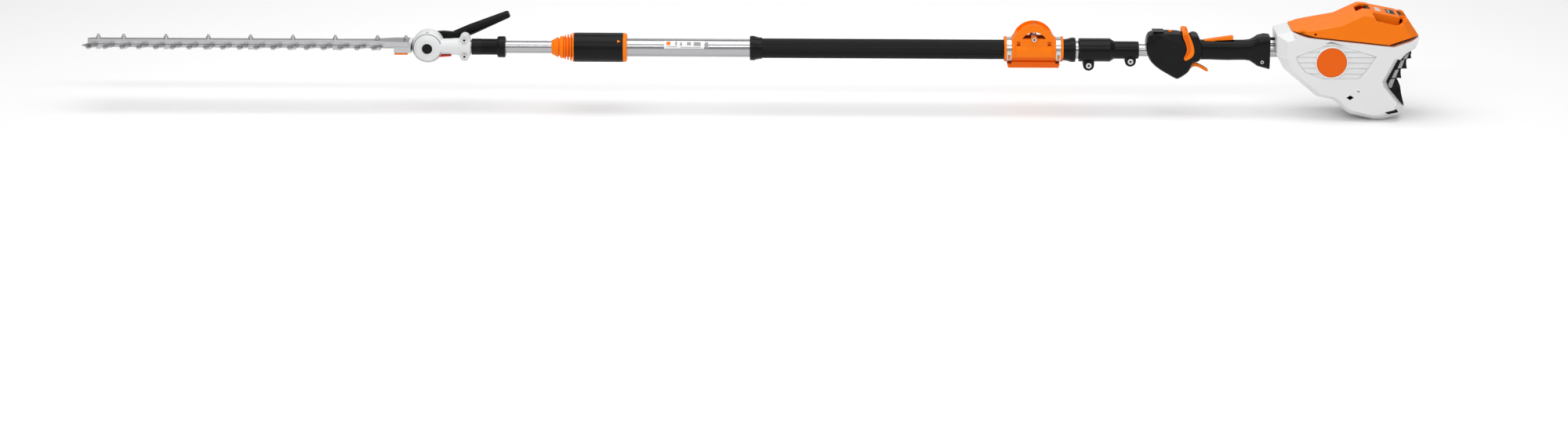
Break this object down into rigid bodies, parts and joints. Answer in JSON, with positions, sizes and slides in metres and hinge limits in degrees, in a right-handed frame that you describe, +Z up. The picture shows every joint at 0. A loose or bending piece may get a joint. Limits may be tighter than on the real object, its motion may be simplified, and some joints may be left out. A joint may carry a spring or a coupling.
{
  "type": "long-reach cordless hedge trimmer",
  "caption": "Telescopic pole hedge trimmer with a tilting double-sided blade, twist clamp, harness bracket, rear control handle and battery motor housing.",
  "frame": {"origin": "middle of the bounding box in plan, at the height of the motor housing's flat foot", "axes": "+X along the pole from the cutter to the motor, +Z up, as the tool is held level; the face with the round badge is at -Y"},
  "size_m": [2.7392, 0.1329, 0.2295],
  "materials": {
    "white_plastic": "moulded, fine texture",
    "orange_plastic": "moulded, satin",
    "black_plastic": "moulded, fine texture",
    "black_rubber": "soft, matt",
    "aluminium": "drawn, bright",
    "steel": "ground",
    "cast_white": "cast and powder coated",
    "filter_felt": "felt",
    "copper": "copper windings on a laminated core",
    "board_green": "coated board"
  },
  "bodies": {
    "pole": {"outer_tube": "aluminium", "front_collar": "black_plastic", "grip_hose": "black_rubber", "rear_collar": "black_plastic", "harness_saddle": "orange_plastic", "harness_keel": "orange_plastic", "harness_band_front": "steel", "harness_band_rear": "steel", "harness_bolt": "steel", "harness_eye": "steel", "reducer_sleeve": "black_plastic", "reducer_screw_1": "steel", "reducer_screw_2": "steel", "rear_tube": "aluminium", "control_shell_near": "black_plastic", "control_shell_far": "black_plastic", "display_panel": "black_plastic", "handle_screw": "steel", "trigger_switch": "black_plastic", "control_cable": "black_rubber", "housing_near": "white_plastic", "housing_far": "white_plastic", "top_cover": "orange_plastic", "intake_grille": "black_plastic", "air_filter": "filter_felt", "badge": "orange_plastic", "motor_stator": "steel", "controller_board": "board_green"},
    "twist_clamp": {"clamp_collet": "orange_plastic", "clamp_grip": "black_rubber", "clamp_end_ring": "orange_plastic"},
    "boom": {"inner_tube": "aluminium", "joint_housing": "cast_white", "clamp_cap": "cast_white", "joint_screw_1": "steel", "joint_screw_2": "steel", "pivot_cap": "black_plastic", "guide_bush": "black_plastic", "shaft_bush_front": "black_plastic"},
    "lock": {"lock_sleeve": "black_rubber", "lock_pin": "steel"},
    "cutter_head": {"guide_bar": "aluminium", "head_case": "cast_white", "swivel_lever": "black_plastic", "base_guard": "orange_plastic", "guard_screw": "steel"},
    "blade_upper": {"upper_blade": "steel"},
    "blade_lower": {"lower_blade": "steel"},
    "crank": {"crank_gear": "steel"},
    "front_shaft": {"drive_shaft_front": "steel"},
    "rear_shaft": {"drive_shaft_rear": "steel", "motor_rotor": "copper"},
    "throttle_trigger": {"trigger": "orange_plastic"},
    "lockout": {"lockout_lever": "orange_plastic"},
    "ring": {"ring_slide": "orange_plastic"},
    "button": {"mode_button": "orange_plastic"},
    "battery_pack": {"battery": "orange_plastic"},
    "latch_front": {"battery_latch_front": "black_plastic"},
    "latch_rear": {"battery_latch_rear": "black_plastic"}
  },
  "joints": [
    {"name": "telescope", "type": "slide", "parent": "pole", "child": "boom", "axis": [-1, 0, 0], "range_m": [0, 0.6]},
    {"name": "clamp_twist", "type": "hinge", "parent": "pole", "child": "twist_clamp", "pos_m": [-0.404, 0, 0.134], "axis": [1, 0, 0], "range_deg": [0, 90]},
    {"name": "lock_slide", "type": "slide", "parent": "boom", "child": "lock", "axis": [1, 0, 0], "range_m": [0, 0.012], "stiffness_N_per_m": 600, "springref_m": -0.004},
    {"name": "head_tilt", "type": "hinge", "parent": "boom", "child": "cutter_head", "pos_m": [-0.6585, 0, 0.134], "axis": [0, 1, 0], "range_deg": [-90, 45]},
    {"name": "blade_drive", "type": "slide", "parent": "cutter_head", "child": "blade_upper", "axis": [1, 0, 0], "range_m": [-0.0103, 0]},
    {"name": "blade_counter", "type": "slide", "parent": "cutter_head", "child": "blade_lower", "axis": [1, 0, 0], "range_m": [0, 0.0103]},
    {"name": "motor_spin", "type": "hinge", "parent": "pole", "child": "rear_shaft", "pos_m": [1.172, 0, 0.134], "axis": [1, 0, 0], "continuous": true},
    {"name": "front_shaft_spin", "type": "hinge", "parent": "boom", "child": "front_shaft", "pos_m": [-0.6585, 0, 0.134], "axis": [1, 0, 0], "continuous": true},
    {"name": "crank_spin", "type": "hinge", "parent": "boom", "child": "crank", "pos_m": [-0.6585, 0, 0.134], "axis": [0, 1, 0], "continuous": true},
    {"name": "trigger_pull", "type": "hinge", "parent": "pole", "child": "throttle_trigger", "pos_m": [0.893, 0, 0.099], "axis": [0, -1, 0], "range_deg": [0, 12], "stiffness_Nm_per_rad": 0.4, "springref_deg": -8.59},
    {"name": "lockout_press", "type": "hinge", "parent": "pole", "child": "lockout", "pos_m": [0.931, 0, 0.1545], "axis": [0, 1, 0], "range_deg": [0, 6], "stiffness_Nm_per_rad": 0.6, "springref_deg": -8.59},
    {"name": "ring_shift", "type": "slide", "parent": "pole", "child": "ring", "axis": [-1, 0, 0], "range_m": [0, 0.006], "stiffness_N_per_m": 300, "springref_m": -0.004},
    {"name": "button_press", "type": "slide", "parent": "pole", "child": "button", "axis": [0, 0, -1], "range_m": [0, 0.0015], "stiffness_N_per_m": 800, "springref_m": -0.001},
    {"name": "battery_pull", "type": "slide", "parent": "pole", "child": "battery_pack", "axis": [0.1908, 0, 0.9816], "range_m": [0, 0.14]},
    {"name": "latch_front_swing", "type": "hinge", "parent": "pole", "child": "latch_front", "pos_m": [1.26545, 0, 0.21374], "axis": [0, -1, 0], "range_deg": [0, 12], "stiffness_Nm_per_rad": 0.3, "springref_deg": -8.59},
    {"name": "latch_rear_swing", "type": "hinge", "parent": "pole", "child": "latch_rear", "pos_m": [1.3322, 0, 0.20077], "axis": [0, 1, 0], "range_deg": [0, 12], "stiffness_Nm_per_rad": 0.3, "springref_deg": -8.59}
  ],
  "couplings": [
    {"joint": "blade_counter", "follows": "blade_drive", "ratio": -1},
    {"joint": "front_shaft_spin", "follows": "motor_spin", "ratio": 1},
    {"joint": "crank_spin", "follows": "motor_spin", "ratio": -0.33333}
  ]
}
